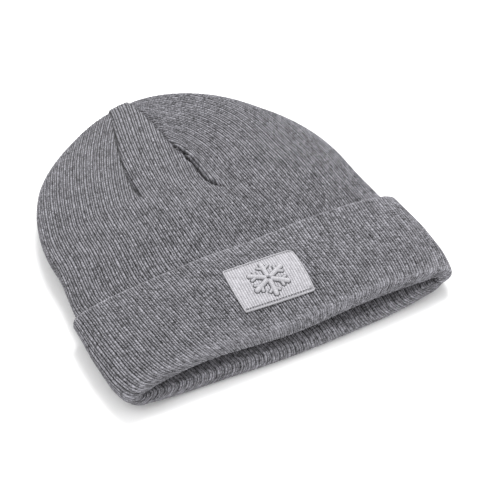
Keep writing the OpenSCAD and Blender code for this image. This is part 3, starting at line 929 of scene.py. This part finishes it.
# A dark strip, a little wider than each satin arm and drawn in the dark sewing thread's colour, shows as a dark
# rim round the arms
outlineHigh = motif["outlineHigh"]
outlineMesh = motifStrips("motif_outline", motif["outline"], outlineHigh, outlineHigh, 24, False)
motifRim = addPiece("motif_outline", outlineMesh, darkThread, "dark_thread", "motif_foam")
satinMesh = motifStrips("motif_threads", 0, motif["high"], motif["twigHigh"], 80, True)
satin = addPiece("motif_threads", satinMesh, paleThread, "satin_thread", "motif_satin")
print("patch made")

seam = {"stitches": 34, "thick": 0.55, "slant": 0.6}


# Linking stitches down in the crease, as a chain of slanting pairs
def dartSeam(name, path, top, start, end, sunk):
    ends = []
    for k in range(seam["stitches"]):
        y0, y1 = (mix(start, end, (k + share) / seam["stitches"]) for share in (0.0, 1.1))
        for side in (-1, 1):
            x0, x1 = alongPath(path, y0) + side * seam["slant"], alongPath(path, y1)
            into = -sunk if top else sunk
            ends.append([(x, y, crownZ(x, y, top) + into) for x, y in ((x0, y0), (x1, y1))])
    return grains(name, ends, seam["thick"], 6, 5)


seamPieces = (
    ("seam_front_left", darts["left"]["path"], True, 136, 219, 2.6, "crown_seam_front_left"),
    ("seam_front_right", darts["right"]["path"], True, 136, 222, 4.2, "crown_seam_front_right"),
    ("seam_back_left", backDarts["left"], False, 164, 219, 1.2, "crown_seam_back_left"),
    ("seam_back_right", backDarts["right"], False, 164, 221, 1.2, "crown_seam_back_right"),
)
for name, path, top, start, end, sunk, node in seamPieces:
    addPiece(name, dartSeam(name, path, top, start, end, sunk), seamYarn, "dark_thread", node)

tie = {"wraps": 3, "radius": 1.4, "thick": 0.7, "slope": 24, "shift": 0.3, "wind": 0.06}


def crownTie():  # a few wraps of yarn pulled tight, lying under the tip
    middle = (tieLow + tieHigh) / 2
    bm = bmesh.new()
    bm.loops.layers.uv.new("knit")
    for k in range(tie["wraps"]):
        shift = (k - 1) * tie["shift"] * mm * Vector((1, 1, tie["thick"]))
        before = set(bm.verts)
        circle = bmesh.ops.create_circle(bm, segments=8, radius=tie["thick"] / 2 * mm)["verts"]
        bmesh.ops.rotate(bm, verts=circle, cent=(0, 0, 0), matrix=Matrix.Rotation(math.pi / 2, 3, "X"))
        bmesh.ops.translate(bm, verts=circle, vec=Vector((tie["radius"] * mm, 0, 0)))
        edges = [edge for edge in bm.edges if edge.verts[0] in circle and edge.verts[1] in circle]
        bmesh.ops.spin(bm, geom=circle + edges, cent=(0, 0, 0), axis=(0, 0, 1), dvec=(0, 0, 0),
                       angle=math.tau, steps=28, use_merge=True)
        fresh = [vertex for vertex in bm.verts if vertex not in before]
        tilt = Matrix.Rotation(math.radians(tie["slope"]) + tie["wind"] * (k - 1), 3, "X")
        bmesh.ops.rotate(bm, verts=fresh, cent=(0, 0, 0), matrix=tilt)
        bmesh.ops.translate(bm, verts=fresh, vec=middle + shift)
    bmesh.ops.recalc_face_normals(bm, faces=bm.faces)
    for face in bm.faces:
        face.smooth = True
    mesh = bpy.data.meshes.new("tip_tie")
    bm.to_mesh(mesh)
    bm.free()
    return mesh


addPiece("tip_tie", crownTie(), seamYarn, "dark_thread", "crown_tie")
print("seams made")

label = {"thick": 0.35, "air": 0.4, "curl": 0.55, "squareEdge": 0.35, "liftFrom": 2, "liftEnd": 12,
         "stitches": 15, "stitchThick": 0.42, "stitchRise": 0.15, "seamIn": 2}
labelX = (labelLow.x + labelHigh.x) / 2 / mm
labelWide = (labelHigh.x - labelLow.x) / mm
labelEnd = labelHigh.y / mm - brimY
labelLong = (labelHigh.y - labelLow.y) / mm


def careLabel():  # a ribbon folded at the brim end, its upper half lifting a little
    bend = (label["thick"] + label["air"]) / 2
    straight = labelLong - bend - label["thick"]
    length = 2 * straight + math.pi * bend

    def shape(u, v):
        run = u * length
        angle = np.clip((run - straight) / bend, 0, math.pi)
        forward = np.where(run < straight, run, np.where(run > length - straight, length - run, straight))
        y = labelEnd - forward - bend * np.sin(angle)
        height = bend * (1 - np.cos(angle)) + label["thick"] / 2
        side = math.tau * v
        flat = signedPower(np.cos(side), label["squareEdge"])
        x = labelX + labelWide / 2 * flat
        fall = length - label["liftEnd"]
        lift = label["curl"] * ease(run, straight + label["liftFrom"], fall) * (1 - ease(run, fall, length))
        closed = np.where((u < 1e-6) | (u > 1 - 1e-6), 0, 1)
        thick = closed * label["thick"] / 2 * np.sin(side)
        z = liningZ(x, y) + hat["gap"] + height + lift + thick * np.cos(angle)
        p = np.stack([x, y - thick * np.sin(angle), z], -1)
        return settle(p)
    return loftMesh("care_ribbon", shape, 150, 40), length


def ribbonCloth():
    m = Maker("labelRibbon")
    u, v = m.uv()
    place = m.place()
    brick = {"Vector": place, "Scale": 900.0, "Mortar Size": 0.03}
    weave = m.node("ShaderNodeTexBrick", {"offset": 0.5}, brick, 1)
    slub = m.noise(place, 1400, 2.0)
    tone = (slub * 0.6 + weave * 0.3).span(0.2, 0.8)
    colour = m.blend(tone, (0.85, 0.85, 0.84, 1), (0.68, 0.68, 0.67, 1))
    finish = {"Base Color": colour, "Roughness": 0.45, "Sheen Weight": 0.1}
    return m.finish(finish, weave + slub * 0.5, 0.4, 0.0001)


ribbonMesh, ribbonLong = careLabel()
ribbon = addPiece("care_ribbon", ribbonMesh, ribbonCloth(), "label_ribbon", "care_label")


def labelStitches():
    count = label["stitches"]
    y = labelEnd - label["seamIn"]
    high = hat["gap"] + 2 * label["thick"] + label["air"] + label["stitchRise"]
    ends = []
    for k in range(count):
        pair = []
        for share in (0.14, 0.86):
            x = labelX + labelWide * ((k + share) / count - 0.5)
            pair.append(settle(np.array([x, y, liningZ(x, y) + high])))
        ends.append(pair)
    return grains("label_stitches", ends, label["stitchThick"])


addPiece("label_stitches", labelStitches(), labelThread, "satin_thread", "label_thread")
print("label made")

camera = {"azimuth": -28.71, "elevation": 44.58, "distance": 1.629, "lens": 204.2,
          "aim": (0.0103, -0.0269, 0.0143)}


def aimCamera():
    a, e = math.radians(camera["azimuth"]), math.radians(camera["elevation"])
    back = Vector((math.sin(a) * math.cos(e), -math.cos(a) * math.cos(e), math.sin(e)))
    data = bpy.data.cameras.new("camera")
    data.lens = camera["lens"]
    data.sensor_width = 36
    data.clip_start = 0.05
    item = bpy.data.objects.new("camera", data)
    bpy.context.scene.collection.objects.link(item)
    item.location = Vector(camera["aim"]) + back * camera["distance"]
    item.rotation_euler = (-back).to_track_quat("-Z", "Y").to_euler()
    bpy.context.scene.camera = item


def addLight(name, direction, height, distance, size, power):
    data = bpy.data.lights.new(name, "AREA")
    data.energy = power
    data.size = size
    item = bpy.data.objects.new(name, data)
    bpy.context.scene.collection.objects.link(item)
    a, e = math.radians(direction), math.radians(height)
    item.location = Vector((math.sin(a) * math.cos(e), math.cos(a) * math.cos(e), math.sin(e))) * distance
    item.rotation_euler = (-item.location).to_track_quat("-Z", "Y").to_euler()


aimCamera()
addLight("key", 40, 62, 1.6, 0.7, 26)
addLight("fill", -75, 45, 1.8, 1.2, 6)
addLight("front", 170, 18, 1.8, 1.0, 5)
world = bpy.data.worlds.new("studio")
world.use_nodes = True
world.node_tree.nodes["Background"].inputs[0].default_value = (1, 1, 1, 1)
world.node_tree.nodes["Background"].inputs[1].default_value = 1.0
bpy.context.scene.world = world
bpy.context.scene.view_settings.view_transform = "Standard"

floorBm = bmesh.new()
bmesh.ops.create_grid(floorBm, x_segments=1, y_segments=1, size=6)
floorMesh = bpy.data.meshes.new("floor")
floorBm.to_mesh(floorMesh)
floorBm.free()
floor = bpy.data.objects.new("floor", floorMesh)
bpy.context.scene.collection.objects.link(floor)
floorMesh.materials.append(Maker("paleFloor").finish({"Base Color": (0.95, 0.95, 0.95, 1), "Roughness": 0.9}))

crownLong = (hat["length"] - crown["startY"]) * mm
cuffLong = cuffPath()[2][-1] * mm
liningLong = (hat["length"] - cuff["insideTo"]) * mm
knitSheets = ((crownPieces, crownArea, crownLong, "laid", "lining_knit_1"),
              (cuffPieces, cuffArea, cuffLong, "folded", "crown_knit_1"),
              (liningPieces, liningArea, liningLong, "laid", "crown_knit_3"))
for pieces, area, long, held, under in knitSheets:
    for piece in pieces:
        area / long
ribbonLong * mm
